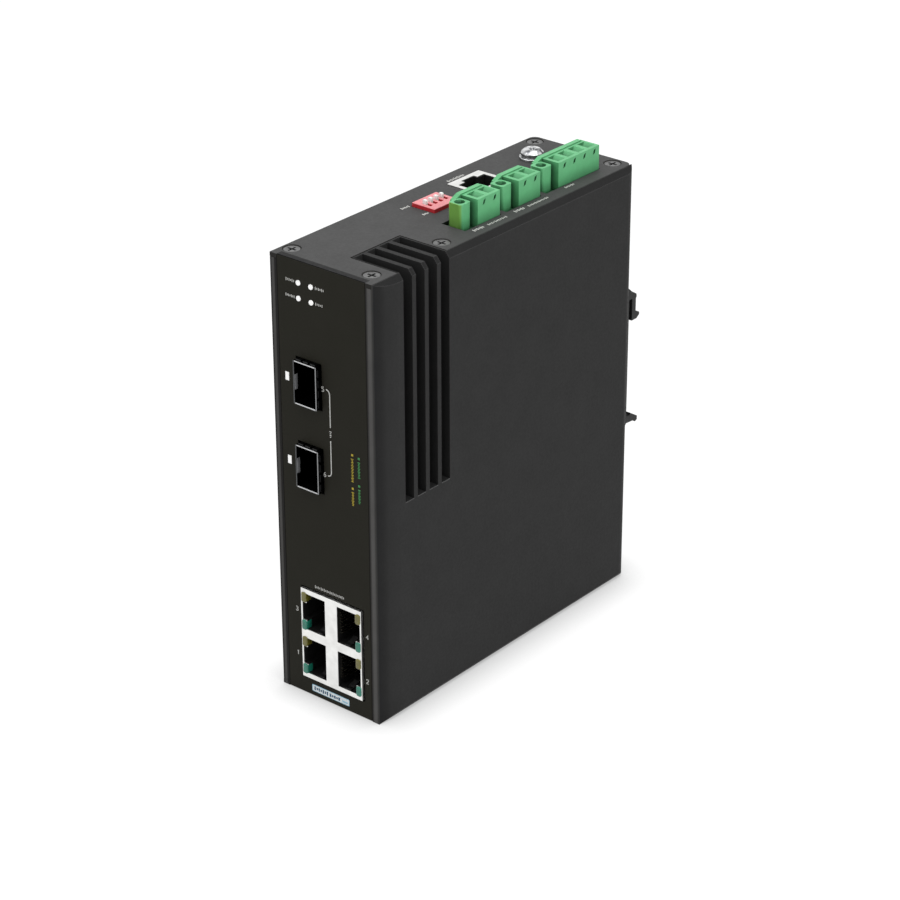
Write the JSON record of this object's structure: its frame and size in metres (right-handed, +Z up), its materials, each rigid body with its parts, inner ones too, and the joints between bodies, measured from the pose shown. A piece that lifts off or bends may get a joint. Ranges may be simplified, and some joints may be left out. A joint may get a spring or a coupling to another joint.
{
  "type": "industrial ethernet switch",
  "caption": "Tall narrow black metal network switch for a mounting rail, with finned side, socket block, module cages, console socket, switch bank and green terminal plugs.",
  "frame": {"origin": "on the underside, below the middle of the housing's width and depth", "axes": "+Z up, +X to the right seen from the front, +Y from the front panel to the rail bracket"},
  "size_m": [0.0418, 0.1371, 0.1563],
  "materials": {
    "black_coat": "black powder coat, fine texture",
    "black_film": "matt black printed film",
    "black_clip": "black anodised extrusion",
    "black_screws": "black oxide",
    "bright_steel": "tin or nickel plated",
    "contact_brass": "gold flashed",
    "black_plastic": "moulded, fine grain",
    "yellow_lens": "translucent yellow",
    "green_lens": "translucent green",
    "clear_pipe": "diffusing clear",
    "red_plastic": "moulded red",
    "white_plastic": "moulded white",
    "green_plastic": "moulded green",
    "board": "solder-masked laminate",
    "pad": "soft gap filler",
    "bare_aluminium": "natural"
  },
  "bodies": {
    "housing": {"heatsink_wall": "black_coat", "left_wall": "black_coat", "front_panel": "black_coat", "rear_panel": "black_coat", "top_plate": "black_coat", "bottom_plate": "black_coat", "front_film": "black_film", "din_clip": "black_clip", "top_screws": "black_screws", "bottom_screws": "black_screws", "clip_screws": "black_screws", "sfp_cage_upper": "bright_steel", "sfp_cage_lower": "bright_steel", "jack_shield": "bright_steel", "console_shield": "bright_steel", "board_standoffs": "bright_steel", "board_screws": "bright_steel", "flange_screws": "bright_steel", "clamp_screws": "bright_steel", "ground_screw": "bright_steel", "ground_washer": "bright_steel", "ground_nut": "bright_steel", "din_spring": "bright_steel", "jack_contacts": "contact_brass", "console_contacts": "contact_brass", "header_pins": "contact_brass", "jack_body": "black_plastic", "console_body": "black_plastic", "sfp_socket_upper": "black_plastic", "sfp_socket_lower": "black_plastic", "switch_chip": "black_plastic", "relay": "black_plastic", "power_coil": "black_plastic", "board_link": "black_plastic", "yellow_windows": "yellow_lens", "green_windows": "green_lens", "status_pipes": "clear_pipe", "sfp_pipes": "clear_pipe", "dip_body": "red_plastic", "plug_1": "green_plastic", "plug_2": "green_plastic", "plug_3": "green_plastic", "header_1": "green_plastic", "header_2": "green_plastic", "header_3": "green_plastic", "main_board": "board", "power_board": "board", "gap_pads": "pad", "chip_sink": "bare_aluminium", "capacitors": "bare_aluminium"},
    "slider_1": {"dip_slider_1": "white_plastic"},
    "slider_2": {"dip_slider_2": "white_plastic"},
    "slider_3": {"dip_slider_3": "white_plastic"},
    "slider_4": {"dip_slider_4": "white_plastic"}
  },
  "joints": [
    {"name": "slider_1_slide", "type": "slide", "parent": "housing", "child": "slider_1", "axis": [1, 0, 0], "range_m": [0, 0.0018]},
    {"name": "slider_2_slide", "type": "slide", "parent": "housing", "child": "slider_2", "axis": [1, 0, 0], "range_m": [0, 0.0018]},
    {"name": "slider_3_slide", "type": "slide", "parent": "housing", "child": "slider_3", "axis": [1, 0, 0], "range_m": [0, 0.0018]},
    {"name": "slider_4_slide", "type": "slide", "parent": "housing", "child": "slider_4", "axis": [1, 0, 0], "range_m": [0, 0.0018]}
  ]
}
